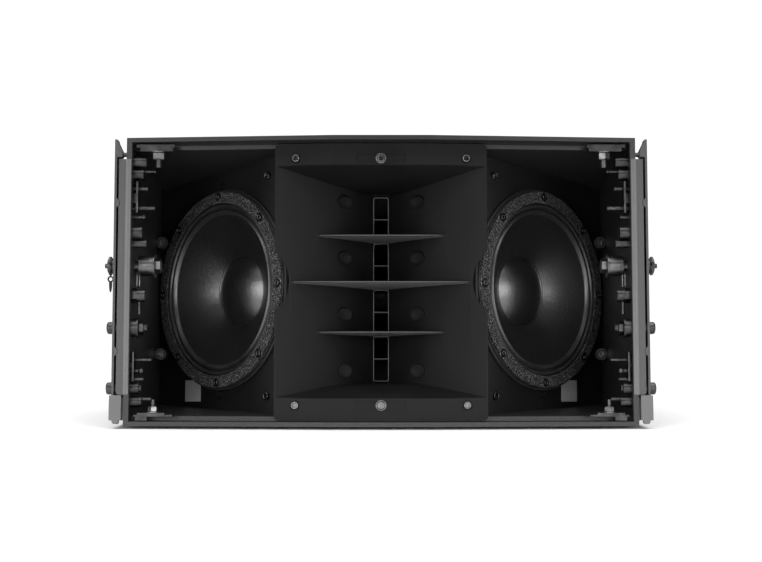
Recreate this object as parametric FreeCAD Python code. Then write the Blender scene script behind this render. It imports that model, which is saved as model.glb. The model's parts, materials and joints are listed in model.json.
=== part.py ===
"""Compact line array element: two tilted woofers either side of a slotted horn, in a wedge cabinet.

Millimetres. The pieces are drawn in the box frame: X to the right, Y into the box from the front
corners, Z across the box, with the acoustic axis along Y at Z = 0. settle() then stands the box on
its bottom panel, so that the front leans back by the wedge angle and the feet touch Z = 0.
"""
import FreeCAD, Part
import math
import os

os.makedirs("parts", exist_ok=True)

V = FreeCAD.Vector
X_AXIS = V(1, 0, 0)
Y_AXIS = V(0, 1, 0)
Z_AXIS = V(0, 0, 1)
ORIGIN = V(0, 0, 0)

# ---------------------------------------------------------------- driving dimensions

# Cabinet
WEDGE = 4.4               # degrees between the acoustic axis and the top or bottom panel
HALF_HEIGHT = 149.1       # at the front corners
OUTER_X = 263.8
WALL = 5.6
INNER_X = OUTER_X - WALL
FRONT_BOW = 11.0          # how far the middle of the front stands ahead of its corners
BOW_FLAT_X = 50.0         # half width of the flat middle of the front
CORNER_Y = 300.0          # where the sides turn in towards the back
BACK_X = 205.0
BACK_Y = 404.0
PANEL = 9.0               # top, bottom and back panels
LIP = 4.6                 # thin lip round the grille rebate
REBATE = 12.0             # from the lip's front edge to the horn flange
FOOT = 3.0
FOOT_RADIUS = 12.0
SLOPE = math.tan(math.radians(WEDGE))

# Woofers, measured from the centre of the gasket's front face
WOOFER_X = 180.7
WOOFER_Y = 95.0
WOOFER_TILT = 45.6        # degrees from facing straight ahead, outwards
FRAME_RADIUS = 109.0
RIM_RADIUS = 111.2        # thin rim behind the frame's edge
FRAME_SCREWS = 8
SCREW_CIRCLE = 102.6      # radius
GASKET = 2.6
FRAME_BACK = -8.8
BAFFLE = 12.0
CUTOUT_RADIUS = 97.0
CONE_RADIUS = 83.0
COIL_RADIUS = 25.0
CAP_RADIUS = 38.0

# Horn
HORN_X = 110.0            # half width of the mouth flange
HORN_FRONT_Y = 1.0
FLANGE = 5.0
MOUTH_Z = 121.0
THROAT_Y = 92.0
THROAT_X = 8.4
THROAT_Z = 104.2
HORN_SKIN = 4.0
FIN_PITCH = 51.2
FIN_TIP = 1.4             # half thickness of a fin at its front edge
FIN_ROOT = 1.0            # and at the throat
FIN_FRONTS = (31.0, 13.5, 31.0)   # depth of each fin's front edge, from the top fin down
SCREW_Z = 128.0           # horn screw rows
SIDE_SCREW_X = 88.6

# Side rigging, right-hand side; the left is its mirror image
PLATE_IN = 274.1
PLATE_OUT = 276.5
PIN_Z = 18.5
PIN_Y = 29.0
PIN_RADIUS = 4.0
RUNNING = 0.08            # radial clearance of a running fit
BOLT_Y = 12.0
BOLT_RADIUS = 3.9
LINK_TRAVEL = 60.0         # how far the link slides up
LINK_HOLE_Z = 113.0
LOWER_HOLE_Z = -100.0
MOUNT_RADIUS = 4.15       # holes for quick-release rigging pins

# Rear rigging
PIVOT_Y = BACK_Y + 17
PIVOT_Z = 78.0
ARM_THICK = 8.0
ARM_REACH = 112.0         # pivot to the last splay hole
LUG_Z = -78.0

parts = {}


# ---------------------------------------------------------------- shape helpers

def outline(steps, place):
    """Closed face through the steps. A step of four numbers is an arc: a point on it, then its end."""
    edges = []
    here = steps[0]
    for step in steps[1:] + steps[:1]:
        if len(step) == 4:
            through = place(step[0], step[1])
            edges.append(Part.Arc(place(*here), through, place(step[2], step[3])).toShape())
            here = step[2:]
        elif here != step:
            edges.append(Part.makeLine(place(*here), place(*step)))
            here = step
    return Part.Face(Part.Wire(edges))


def plan(steps, z0, z1):
    """Prism from an outline in X and Y."""
    return outline(steps, lambda x, y: V(x, y, z0)).extrude(V(0, 0, z1 - z0))


def profile(steps, x0, x1):
    """Prism from an outline in Y and Z."""
    return outline(steps, lambda y, z: V(x0, y, z)).extrude(V(x1 - x0, 0, 0))


def front(steps, y0, y1):
    """Prism from an outline in X and Z."""
    return outline(steps, lambda x, z: V(x, y0, z)).extrude(V(0, y1 - y0, 0))


def turned(steps):
    """Solid of revolution about Z from an outline in radius and Z."""
    return outline(steps, lambda r, z: V(r, 0, z)).revolve(ORIGIN, Z_AXIS, 360)


def block(x0, x1, y0, y1, z0, z1):
    return Part.makeBox(x1 - x0, y1 - y0, z1 - z0, V(x0, y0, z0))


def rod(x, y, z, direction, radius, length):
    return Part.makeCylinder(radius, length, V(x, y, z), direction)


def sleeve(x, y, z, direction, outer, inner, length):
    return rod(x, y, z, direction, outer, length).cut(rod(x, y, z, direction, inner, length))


def hexagon(x, y, z, direction, across, length):
    """Hexagonal prism of the given width across flats."""
    corner = across / math.sqrt(3)
    points = [V(corner * math.cos(math.radians(60 * i)), corner * math.sin(math.radians(60 * i)), 0)
              for i in range(7)]
    prism = Part.Face(Part.makePolygon(points)).extrude(V(0, 0, length))
    turn = FreeCAD.Rotation(Z_AXIS, direction)
    prism.Placement = FreeCAD.Placement(V(x, y, z), turn)
    return prism


def dome_shell(radius, rise, thickness, z):
    """Part of a hollow ball, of the given base radius and rise, standing on height z."""
    ball = (radius * radius + rise * rise) / (2 * rise)
    centre = V(0, 0, z + rise - ball)
    shell = Part.makeSphere(ball, centre).cut(Part.makeSphere(ball - thickness, centre))
    return shell.common(rod(0, 0, z, Z_AXIS, radius, 2 * rise))


def fuse(pieces):
    return pieces[0].multiFuse(pieces[1:]).removeSplitter()


def mirrored(shape):
    return shape.mirror(ORIGIN, X_AXIS)


def both(shape):
    """The piece and its mirror image, as separate solids."""
    return Part.makeCompound([shape, mirrored(shape)])


def keep_pair(name, shape):
    """A right-hand piece and its mirror image, each in its own node."""
    parts[name + "_right"] = shape
    parts[name + "_left"] = mirrored(shape)


def half_height(y):
    return HALF_HEIGHT - SLOPE * y


def between_panels(inset, y0=-40.0, y1=500.0, half_x=300.0):
    """The wedge-shaped space between the top and bottom faces, drawn in by the inset."""
    near = half_height(y0) - inset
    far = half_height(y1) - inset
    return profile([(y0, -near), (y1, -far), (y1, far), (y0, near)], -half_x, half_x)


# ---------------------------------------------------------------- cabinet

FAR_Z = 170.0

outer_plan = [(-BOW_FLAT_X, -FRONT_BOW), (BOW_FLAT_X, -FRONT_BOW), (OUTER_X, 0), (OUTER_X, CORNER_Y),
              (BACK_X, BACK_Y), (-BACK_X, BACK_Y), (-OUTER_X, CORNER_Y), (-OUTER_X, 0)]
turn_x = BACK_X - OUTER_X
turn_y = BACK_Y - CORNER_Y
turn_length = math.hypot(turn_x, turn_y)
inset_x = WALL * turn_length / turn_y
inner_turn_y = CORNER_Y - WALL * (turn_length + turn_x) / turn_y
inner_back_x = BACK_X - inset_x
inner_plan = [(-INNER_X, -50), (INNER_X, -50), (INNER_X, inner_turn_y), (inner_back_x, BACK_Y),
              (-inner_back_x, BACK_Y), (-INNER_X, inner_turn_y)]


def bowed(offset):
    """Points of a line that follows the bowed front, the given depth behind it."""
    return [(-OUTER_X, offset), (-BOW_FLAT_X, offset - FRONT_BOW), (BOW_FLAT_X, offset - FRONT_BOW),
            (OUTER_X, offset)]


cabinet_body = plan(outer_plan, -FAR_Z, FAR_Z).common(between_panels(0))
inner_space = between_panels(PANEL)
rebate_zone = plan([(-OUTER_X, -60), *bowed(REBATE + FLANGE + 0.1), (OUTER_X, -60)], -FAR_Z, FAR_Z)
rebate_space = rebate_zone.common(between_panels(LIP))
shell = cabinet_body.cut(inner_space).cut(rebate_space)
CLEAT_X = 104.0
cleat_y = HORN_FRONT_Y + FLANGE + 3.3
top_panel = shell.common(block(-300, 300, -60, 500, 0, FAR_Z))
bottom_panel = shell.common(block(-300, 300, -60, 500, -FAR_Z, 0))
cleat_top = block(-CLEAT_X, CLEAT_X, cleat_y, cleat_y + 16, 0, 140).cut(between_panels(PANEL + 9))
cleat_top = cleat_top.common(between_panels(PANEL - 1))
cleat_bottom = cleat_top.mirror(ORIGIN, Z_AXIS)
parts["top_panel"] = top_panel.fuse(cleat_top).removeSplitter()
parts["bottom_panel"] = bottom_panel.fuse(cleat_bottom).removeSplitter()

back_zone = block(-300, 300, BACK_Y - PANEL, BACK_Y + 1, -FAR_Z, FAR_Z)
upright_space = cabinet_body.common(fuse([inner_space, rebate_space]))
side_walls = upright_space.cut(plan(inner_plan, -FAR_Z, FAR_Z)).cut(back_zone)
side_panel = side_walls.common(block(100, 300, -60, 500, -FAR_Z, FAR_Z))
back_panel = upright_space.common(back_zone)


# ---------------------------------------------------------------- horn

def flange_line(x):
    """Depth of the horn's front face, which follows the bow of the cabinet."""
    return HORN_FRONT_Y + max(0.0, abs(x) - BOW_FLAT_X) * FRONT_BOW / (OUTER_X - BOW_FLAT_X)


edge_y = flange_line(HORN_X)
flange_plan = [(-HORN_X, edge_y), (-BOW_FLAT_X, HORN_FRONT_Y),
               (BOW_FLAT_X, HORN_FRONT_Y), (HORN_X, edge_y),
               (HORN_X, edge_y + FLANGE), (BOW_FLAT_X, HORN_FRONT_Y + FLANGE),
               (-BOW_FLAT_X, HORN_FRONT_Y + FLANGE), (-HORN_X, edge_y + FLANGE)]
WALL_MOUTH = (108.0, 4.6)     # where the side wall leaves the flange
WALL_MIDDLE = (60.0, 36.0)    # a point half way down the flared wall
cavity_plan = [(-WALL_MOUTH[0], -30), (WALL_MOUTH[0], -30), WALL_MOUTH,
               (*WALL_MIDDLE, THROAT_X, THROAT_Y), (-THROAT_X, THROAT_Y),
               (-WALL_MIDDLE[0], WALL_MIDDLE[1], -WALL_MOUTH[0], WALL_MOUTH[1])]
skin_x = 3.0                  # the skin's thickness resolved along X and Y
skin_y = 3.6
skin_plan = [(WALL_MOUTH[0] + 2, edge_y + 1),
             (WALL_MOUTH[0] + 2, WALL_MOUTH[1] + skin_y),
             (WALL_MIDDLE[0] + skin_x, WALL_MIDDLE[1] + skin_y, THROAT_X + HORN_SKIN, THROAT_Y + HORN_SKIN),
             (-THROAT_X - HORN_SKIN, THROAT_Y + HORN_SKIN),
             (-WALL_MIDDLE[0] - skin_x, WALL_MIDDLE[1] + skin_y, -WALL_MOUTH[0] - 2, WALL_MOUTH[1] + skin_y),
             (-WALL_MOUTH[0] - 2, edge_y + 1)]
FLARE_Y = 42.0
FLARE_Z = 107.5


def flare(grow):
    """Upper and lower flares of the horn, as a profile drawn outwards by grow."""
    mouth = MOUTH_Z + grow
    middle = FLARE_Z + grow
    throat = THROAT_Z + grow
    front_y = HORN_FRONT_Y + 1
    back_y = THROAT_Y + grow
    return profile([(-30, -mouth), (front_y, -mouth), (FLARE_Y, -middle, back_y, -throat), (back_y, throat),
                    (FLARE_Y, middle, front_y, mouth), (-30, mouth)], -150, 150)


flange = plan(flange_plan, -FAR_Z, FAR_Z).common(between_panels(LIP + 0.8))
corner_lines = [edge for edge in flange.Edges
                if edge.BoundBox.YLength > FLANGE - 0.5 and edge.BoundBox.XLength < 0.5
                and edge.BoundBox.ZLength < 1 and abs(edge.CenterOfMass.z) > 100]
flange = flange.makeFillet(4.5, corner_lines)
horn_skin = plan(skin_plan, -FAR_Z, FAR_Z).common(flare(HORN_SKIN))
cavity = plan(cavity_plan, -FAR_Z, FAR_Z).common(flare(0))

POCKET_X = 39.0               # round screw pockets in the side walls
POCKET_Z = (91.0, 30.4, -30.4, -91.0)
POCKET_RADIUS = 7.8
POCKET_FLOOR = 67.0
bosses = []
pockets = []
for side in (-1, 1):
    for z in POCKET_Z:
        bosses.append(rod(side * POCKET_X, 40, z, Y_AXIS, POCKET_RADIUS + 2.4, POCKET_FLOOR + 3 - 40))
        pockets.append(rod(side * POCKET_X, 20, z, Y_AXIS, POCKET_RADIUS, POCKET_FLOOR - 20))

fins = []
for z, fin_y in zip((FIN_PITCH, 0.0, -FIN_PITCH), FIN_FRONTS):
    wedge = profile([(fin_y, z - FIN_TIP), (THROAT_Y + 1, z - FIN_ROOT), (THROAT_Y + 1, z + FIN_ROOT),
                     (fin_y, z + FIN_TIP), (fin_y - 1.4, z, fin_y, z - FIN_TIP)], -112, 112)
    fins.append(wedge.common(cavity))

throat_plate = block(-THROAT_X - HORN_SKIN, THROAT_X + HORN_SKIN, THROAT_Y, THROAT_Y + HORN_SKIN,
                     -THROAT_Z - HORN_SKIN, THROAT_Z + HORN_SKIN)
SLOT_X = 7.8
SLOT_LIP = 0.6                # left above and below each slot
slots = []
for low, high in ((-THROAT_Z, -FIN_PITCH - FIN_ROOT), (-FIN_PITCH + FIN_ROOT, -FIN_ROOT),
                  (FIN_ROOT, FIN_PITCH - FIN_ROOT), (FIN_PITCH + FIN_ROOT, THROAT_Z)):
    slot = block(-SLOT_X, SLOT_X, THROAT_Y - 1, THROAT_Y + 6, low + SLOT_LIP, high - SLOT_LIP)
    upright = [edge for edge in slot.Edges if abs(edge.tangentAt(edge.FirstParameter).y) > 0.9]
    slots.append(slot.makeFillet(2.2, upright))

EAR_X = 135.6                 # side notches that clear the woofer frames
EAR_RADIUS = 40.0
notches = [rod(side * EAR_X, -20, 0, Y_AXIS, EAR_RADIUS, 60) for side in (-1, 1)]

horn = fuse([flange, horn_skin, *bosses, throat_plate])
horn = horn.cut(cavity)
horn = horn.cut(Part.makeCompound(pockets))
horn = fuse([horn, *fins])
horn = horn.cut(Part.makeCompound(notches + slots))

HEAD_RADIUS = 3.5
HEAD_LENGTH = 3.0
SHANK_RADIUS = 2.1
HORN_KEY = 4.0                # hexagonal socket, across flats
COUNTERBORE = 1.4             # room round each screw head
screw_holes = []
horn_screws = []
for x in (-SIDE_SCREW_X, 0.0, SIDE_SCREW_X):
    for z in (-SCREW_Z, SCREW_Z):
        y = flange_line(x)
        screw_holes.append(rod(x, y - 2, z, Y_AXIS, HEAD_RADIUS + COUNTERBORE, 2 + 3.4))
        screw_holes.append(rod(x, y, z, Y_AXIS, SHANK_RADIUS, 20))
        head = rod(x, y + 0.4, z, Y_AXIS, HEAD_RADIUS, HEAD_LENGTH)
        socket = hexagon(x, y, z, Y_AXIS, HORN_KEY, 2.4)
        shank = rod(x, y + 3.4, z, Y_AXIS, SHANK_RADIUS, 18)
        horn_screws.append(head.cut(socket).fuse(shank).removeSplitter())
for z in (-SCREW_Z, SCREW_Z):
    screw_holes.append(block(-25.5, 25.5, HORN_FRONT_Y - 2, HORN_FRONT_Y + 1.4, z - 4.6, z + 4.6))
parts["horn_body"] = horn.cut(Part.makeCompound(screw_holes))
parts["horn_screws"] = Part.makeCompound(horn_screws)
for name in ("top_panel", "bottom_panel"):
    parts[name] = parts[name].cut(Part.makeCompound(horn_screws))

# Throat manifold: four slots at the horn gather into one round exit at the driver
MANIFOLD_Y = THROAT_Y + HORN_SKIN + 0.05
DRIVER_Y = 188.0


def rectangle(half_x, half_z, y):
    corners = [V(-half_x, y, -half_z), V(half_x, y, -half_z), V(half_x, y, half_z), V(-half_x, y, half_z)]
    return Part.makePolygon(corners + corners[:1])


outer_loft = Part.makeLoft([rectangle(14, THROAT_Z + 4.2, MANIFOLD_Y), rectangle(26, 26, DRIVER_Y - 6)],
                           True, True)
inner_loft = Part.makeLoft([rectangle(SLOT_X, THROAT_Z, MANIFOLD_Y - 0.01), rectangle(16, 16, DRIVER_Y)],
                           True, True)
manifold = outer_loft.fuse(rod(0, DRIVER_Y - 6, 0, Y_AXIS, 46, 6)).cut(inner_loft)
dividers = []
THIN_DIVIDER = 0.7            # half thickness of the vane in the middle of each slot
for i in range(-3, 4):
    z = i * FIN_PITCH / 2
    half = FIN_ROOT if i % 2 == 0 else THIN_DIVIDER
    length = 40 if i % 2 == 0 else 22
    dividers.append(block(-14, 14, MANIFOLD_Y, MANIFOLD_Y + length, z - half, z + half).common(inner_loft))
parts["throat_manifold"] = fuse([manifold, *dividers])


# ---------------------------------------------------------------- high-frequency driver

def facing_back(shape, y):
    """Turns a solid drawn about Z so that its Z runs along Y from the given depth."""
    shape.Placement = FreeCAD.Placement(V(0, y, 0), FreeCAD.Rotation(X_AXIS, -90))
    return shape


driver = turned([(18, 0), (46, 0), (46, 8), (62, 8), (62, 46), (58, 50), (47, 50), (47, 32), (30, 32),
                 (18, 20)])
parts["hf_driver_body"] = facing_back(driver, DRIVER_Y)
parts["hf_rear_cover"] = facing_back(
    turned([(0, 70), (40, 70), (54, 66), (57, 50.05), (47, 50.05), (47, 60), (0, 64)]), DRIVER_Y)
rim = turned([(37.6, 36), (44.5, 36), (44.5, 36.5), (37.6, 36.5)])
parts["hf_diaphragm"] = facing_back(fuse([dome_shell(38, 10, 0.6, 36), rim]), DRIVER_Y)


# ---------------------------------------------------------------- woofers

tilt = math.radians(WOOFER_TILT)
woofer_place = FreeCAD.Placement(FreeCAD.Matrix(
    math.cos(tilt), 0, math.sin(tilt), WOOFER_X,
    math.sin(tilt), 0, -math.cos(tilt), WOOFER_Y,
    0, 1, 0, 0,
    0, 0, 0, 1))


def at_woofer(shape):
    """Moves a solid drawn about Z, with its front at Z = 0, onto the right woofer's axis."""
    shape = shape.copy()
    shape.Placement = woofer_place.multiply(shape.Placement)
    return shape


def screw_places():
    """Centres of the frame screws, on the woofer's own axes."""
    turns = [2 * math.pi * i / FRAME_SCREWS for i in range(FRAME_SCREWS)]
    return [(SCREW_CIRCLE * math.cos(turn), SCREW_CIRCLE * math.sin(turn)) for turn in turns]


def screw_ring(radius, z, length):
    """A rod at each screw position."""
    return [rod(x, y, z, Z_AXIS, radius, length) for x, y in screw_places()]


BASKET_FLOOR = -62.0
SHELF_Z = -53.0
ring = turned([(96.2, FRAME_BACK), (RIM_RADIUS, FRAME_BACK), (RIM_RADIUS, FRAME_BACK + 3.4),
               (FRAME_RADIUS, FRAME_BACK + 3.4), (FRAME_RADIUS, -GASKET), (96.2, -GASKET)])
ledge = turned([(91.5, FRAME_BACK), (96.4, FRAME_BACK), (96.4, FRAME_BACK + 1.6), (91.5, FRAME_BACK + 1.6)])
spokes = turned([(91.5, FRAME_BACK), (96.4, FRAME_BACK), (56, BASKET_FLOOR), (52, BASKET_FLOOR)])
for i in range(6):
    window = block(30, 120, -24, 24, BASKET_FLOOR + 8, FRAME_BACK - 5)
    window.rotate(ORIGIN, Z_AXIS, 60 * i + 30)
    spokes = spokes.cut(window)
seat = turned([(27.5, BASKET_FLOOR - 4), (56, BASKET_FLOOR - 4), (56, BASKET_FLOOR), (27.5, BASKET_FLOOR)])
shelf = turned([(46.5, SHELF_Z - 2), (61, SHELF_Z - 2), (61, SHELF_Z), (46.5, SHELF_Z)])
SCREW_HOLE = 2.6
basket = fuse([ring, ledge, spokes, seat, shelf]).cut(Part.makeCompound(screw_ring(SCREW_HOLE, -10, 10)))
keep_pair("woofer_basket", at_woofer(basket))

gasket = turned([(95.4, -GASKET), (108.2, -GASKET), (108.2, -0.6), (107.6, 0), (95.4, 0)])
gasket = gasket.cut(Part.makeCompound(screw_ring(4.7, -10, 12)))
keep_pair("woofer_gasket", at_woofer(gasket))

# Two-ridge surround, clear of the gasket outside it and of the cone inside it
surround = turned([(83.4, -6.6), (95.0, -6.6), (95.0, -5.6), (94.2, -5.6), (91.7, -1.2, 89.3, -4.4),
                   (86.9, -1.2, 84.4, -5.6), (83.4, -5.6)])
keep_pair("woofer_surround", at_woofer(surround))

CONE_EDGE_Z = -6.4
NECK_Z = -41.0
PAPER = 0.9
NECK_RADIUS = COIL_RADIUS + 1.4
CONE_BEND = (52.0, -26.6)     # a point of the curved cone half way down
cone_profile = [(CONE_RADIUS, CONE_EDGE_Z), (*CONE_BEND, NECK_RADIUS, NECK_Z), (NECK_RADIUS, NECK_Z - PAPER),
                (CONE_BEND[0], CONE_BEND[1] - PAPER, CONE_RADIUS, CONE_EDGE_Z - PAPER)]
cone = turned(cone_profile)
keep_pair("woofer_cone", at_woofer(cone))

CAP_Z = -35.2
CAP_RISE = 13.0
keep_pair("dust_cap", at_woofer(dome_shell(CAP_RADIUS, CAP_RISE, PAPER, CAP_Z).cut(cone)))

former = turned([(COIL_RADIUS - 0.1, -80), (COIL_RADIUS + 0.5, -80), (COIL_RADIUS + 0.5, -78),
                 (COIL_RADIUS + 1.3, -78), (COIL_RADIUS + 1.3, -63), (COIL_RADIUS + 0.5, -63),
                 (COIL_RADIUS + 0.5, NECK_Z - 5), (NECK_RADIUS, NECK_Z - 5), (NECK_RADIUS, NECK_Z),
                 (COIL_RADIUS - 0.1, NECK_Z)])
keep_pair("voice_coil", at_woofer(former))

spider_steps = [(COIL_RADIUS + 0.9, SHELF_Z + 0.2), (49, SHELF_Z + 0.2), (49, SHELF_Z + 0.8)]
for ridge in range(4):
    outside = 46.0 - 5.0 * ridge
    spider_steps.append((outside, SHELF_Z + 0.8))
    spider_steps.append((outside - 2.5, SHELF_Z + 2.6, outside - 5.0, SHELF_Z + 0.8))
spider = turned(spider_steps)
keep_pair("spider", at_woofer(spider))

MOTOR_TOP = BASKET_FLOOR - 4.05
motor = turned([(27, MOTOR_TOP), (58, MOTOR_TOP), (58, MOTOR_TOP - 8), (56, MOTOR_TOP - 8),
                (56, MOTOR_TOP - 32), (24.4, MOTOR_TOP - 32), (12, MOTOR_TOP - 32), (12, MOTOR_TOP),
                (24.4, MOTOR_TOP), (24.4, MOTOR_TOP - 25), (34, MOTOR_TOP - 25), (34, MOTOR_TOP - 8),
                (27, MOTOR_TOP - 8)])
keep_pair("woofer_motor", at_woofer(motor))

frame_screws = []
for head, shank in zip(screw_ring(4.1, -GASKET, 3.4), screw_ring(2.5, FRAME_BACK - 10, 10 + 6.2)):
    frame_screws.append(head.fuse(shank).removeSplitter())
sockets = Part.makeCompound([hexagon(x, y, -1.2, Z_AXIS, 4.0, 3) for x, y in screw_places()])
frame_screws = [at_woofer(screw.cut(sockets)) for screw in frame_screws]
parts["woofer_frame_screws"] = Part.makeCompound(frame_screws + [mirrored(s) for s in frame_screws])

# Baffle behind each woofer frame, from the horn to the side wall
baffle_front = FRAME_BACK - 0.02
baffle = block(-110, 140, -FAR_Z, FAR_Z, baffle_front - BAFFLE, baffle_front)
baffle = baffle.cut(rod(0, 0, -60, Z_AXIS, CUTOUT_RADIUS, 80))
baffle = baffle.cut(Part.makeCompound([rod(4, s * 115, baffle_front - 4, Z_AXIS, 6.4, 6) for s in (-1, 1)]))
baffle = at_woofer(baffle)
POST_X = 251.4                # screw posts beside the wall, just outside each woofer frame
POST_Y = 150.0
POST_Z = (59.0, -69.0)
POST_RADIUS = 6.6
frame_room = at_woofer(rod(0, 0, baffle_front, Z_AXIS, RIM_RADIUS + 1.2, 10.4))
wall_bosses = []
wall_pockets = []
for z in POST_Z:
    wall_bosses.append(rod(POST_X, POST_Y, z, Y_AXIS, POST_RADIUS, 38).cut(frame_room))
    wall_pockets.append(rod(POST_X, POST_Y - 1, z, Y_AXIS, POST_RADIUS - 1.2, 3.4))
baffle = fuse([baffle, *wall_bosses]).cut(Part.makeCompound(wall_pockets))
chamber = plan([(60, -30), (INNER_X - 0.02, -30), (INNER_X - 0.02, 300), (60, 300)], -FAR_Z, FAR_Z)
baffle = baffle.common(chamber).common(between_panels(PANEL + 0.02))
baffle = baffle.cut(cleat_top).cut(cleat_bottom)

BAFFLE_SCREW = (-77.0, 117.5)
baffle_screws = []
for z in (-1, 1):
    head = rod(BAFFLE_SCREW[0], z * BAFFLE_SCREW[1], baffle_front, Z_AXIS, 4.4, 2.6)
    head = head.cut(hexagon(BAFFLE_SCREW[0], z * BAFFLE_SCREW[1], baffle_front + 1, Z_AXIS, 4.0, 3))
    shank = rod(BAFFLE_SCREW[0], z * BAFFLE_SCREW[1], baffle_front - 10, Z_AXIS, 2.4, 10)
    baffle_screws.append(at_woofer(head.fuse(shank).removeSplitter()))
for z in POST_Z:
    head = rod(POST_X, POST_Y + 0.6, z, Y_AXIS, 3.6, 2.2)
    head = head.cut(hexagon(POST_X, POST_Y, z, Y_AXIS, 3.0, 2.2))
    shank = rod(POST_X, POST_Y + 2.8, z, Y_AXIS, 1.8, 14)
    baffle_screws.append(head.fuse(shank).removeSplitter())
used_screws = Part.makeCompound(frame_screws + baffle_screws)
parts["baffle_screws"] = Part.makeCompound(baffle_screws + [mirrored(s) for s in baffle_screws])
keep_pair("woofer_baffle", baffle.cut(used_screws))

PLATE_AT = (54.0, -112.0)     # blank light plate in the lower corner of each baffle
corner_plate = at_woofer(block(PLATE_AT[0] - 14, PLATE_AT[0] + 14, PLATE_AT[1] - 11, PLATE_AT[1] + 13,
                               baffle_front + 0.02, baffle_front + 0.8))
room_for_frame = at_woofer(rod(0, 0, baffle_front - 1, Z_AXIS, RIM_RADIUS + 0.6, 21))
corner_plate = corner_plate.cut(room_for_frame).common(between_panels(PANEL + 0.4))
parts["corner_plates"] = both(corner_plate)


# ---------------------------------------------------------------- side rigging

plate = profile([(2, -143), (60, -139), (60, 112), (46, 126), (14, 148), (2, 148)], PLATE_IN, PLATE_OUT)
fang = front([(PLATE_IN, 147.5), (268.6, 135.8), (268.6, 129.5), (PLATE_IN, 129.5)], 2, 11)
rail = block(OUTER_X, PLATE_IN, 41, 48, -138, 112)
cross_pin = rod(OUTER_X, 7, 132.6, X_AXIS, 2.4, PLATE_IN - OUTER_X)
TAB_Z = (81.0, -72.8)         # half-round tabs on the plate's front edge
TAB_X = PLATE_OUT - 0.9
TAB_RADIUS = 5.2
TAB_FRONT = -1.4
tab_zone = block(OUTER_X, PLATE_IN, TAB_FRONT, 4, -100, 100)
tabs = [rod(TAB_X, TAB_FRONT, z, Y_AXIS, TAB_RADIUS, 5.4).common(tab_zone) for z in TAB_Z]
rigging_plate = fuse([plate, fang, rail, cross_pin, *tabs])
rigging_plate = rigging_plate.cut(rod(PLATE_IN - 1, PIN_Y, PIN_Z, X_AXIS, PIN_RADIUS + RUNNING, 4))
for z in (LOWER_HOLE_Z, LINK_HOLE_Z):
    rigging_plate = rigging_plate.cut(rod(PLATE_IN - 1, PIN_Y, z, X_AXIS, MOUNT_RADIUS, 4))

COVER_OUT = 271.2
COVER_IN = 260.4              # the cover's skin laps over the front of the side panel
COVER_TOP = 126.6
COVER_BOTTOM = -117.0
COVER_SKIN = 1.6
cover = block(OUTER_X, COVER_OUT, 0, 4, COVER_BOTTOM, COVER_TOP)
bottom_edge = [edge for edge in cover.Edges
               if edge.BoundBox.XMin > COVER_OUT - 0.1 and edge.BoundBox.ZMax < COVER_BOTTOM + 1
               and edge.BoundBox.YLength > 3]
COVER_CORNER = 3.0
cover = cover.makeFillet(COVER_CORNER, bottom_edge)
corner_z = COVER_BOTTOM + COVER_CORNER
arc_step = COVER_CORNER * (1 - math.sqrt(0.5))
front_skin = front([(COVER_IN, COVER_BOTTOM), (COVER_OUT - COVER_CORNER, COVER_BOTTOM),
                    (COVER_OUT - arc_step, COVER_BOTTOM + arc_step, COVER_OUT, corner_z),
                    (COVER_OUT, COVER_TOP), (COVER_IN, COVER_TOP)], -COVER_SKIN, 0)
cover = cover.fuse(front_skin.cut(cabinet_body)).removeSplitter()
for z in TAB_Z:
    cover = cover.cut(rod(TAB_X, -4, z, Y_AXIS, TAB_RADIUS + 0.5, 10))
keep_pair("channel_cover", cover)

LINK_X = (264.9, 270.9)
LINK_WIDTH = 20.0
LINK_TOP = 117.0
LINK_BOTTOM = -64.0
NOTCH_ROOM = 3.0              # between the pin and the notch, above, below and behind it
LINK_FRONT_GAP = 9.0          # from the link's front edge back to the pin's axis
link_front = PIN_Y - LINK_FRONT_GAP
link = block(*LINK_X, link_front, link_front + LINK_WIDTH, LINK_BOTTOM, LINK_TOP)
link_thick = LINK_X[1] - LINK_X[0]
link = link.fuse(rod(LINK_X[0], PIN_Y, LINK_TOP, X_AXIS, LINK_FRONT_GAP, link_thick)).removeSplitter()
notch_top = PIN_Z + PIN_RADIUS + NOTCH_ROOM
notch_bottom = PIN_Z - LINK_TRAVEL - PIN_RADIUS - NOTCH_ROOM
notch_back = PIN_Y + PIN_RADIUS + NOTCH_ROOM
link_notch = block(*LINK_X, link_front - 1, notch_back, notch_bottom, notch_top)
link = link.cut(link_notch).cut(rod(LINK_X[0], PIN_Y, LINK_HOLE_Z, X_AXIS, MOUNT_RADIUS, link_thick))
keep_pair("front_link", link)

# Pull pin: ring head outside, collar and spring in a barrel inside the wall
COLLAR_X = 239.5
BORE_END = 253.4
HEAD_X = 282.6
pull_pin = fuse([rod(COLLAR_X, PIN_Y, PIN_Z, X_AXIS, PIN_RADIUS, HEAD_X + 1 - COLLAR_X),
                 rod(COLLAR_X, PIN_Y, PIN_Z, X_AXIS, 6.6, 2.5),
                 rod(276.8, PIN_Y, PIN_Z, X_AXIS, 6.4, HEAD_X - 276.8),
                 rod(HEAD_X, PIN_Y, PIN_Z, X_AXIS, 8.2, 1.0),
                 rod(HEAD_X + 1, PIN_Y, PIN_Z, X_AXIS, 9.8, 2.0),
                 rod(HEAD_X + 3, PIN_Y, PIN_Z, X_AXIS, 7.6, 1.2),
                 rod(HEAD_X + 4.2, PIN_Y, PIN_Z, X_AXIS, 2.5, 3.4)])
keep_pair("pull_pin", pull_pin)

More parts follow.
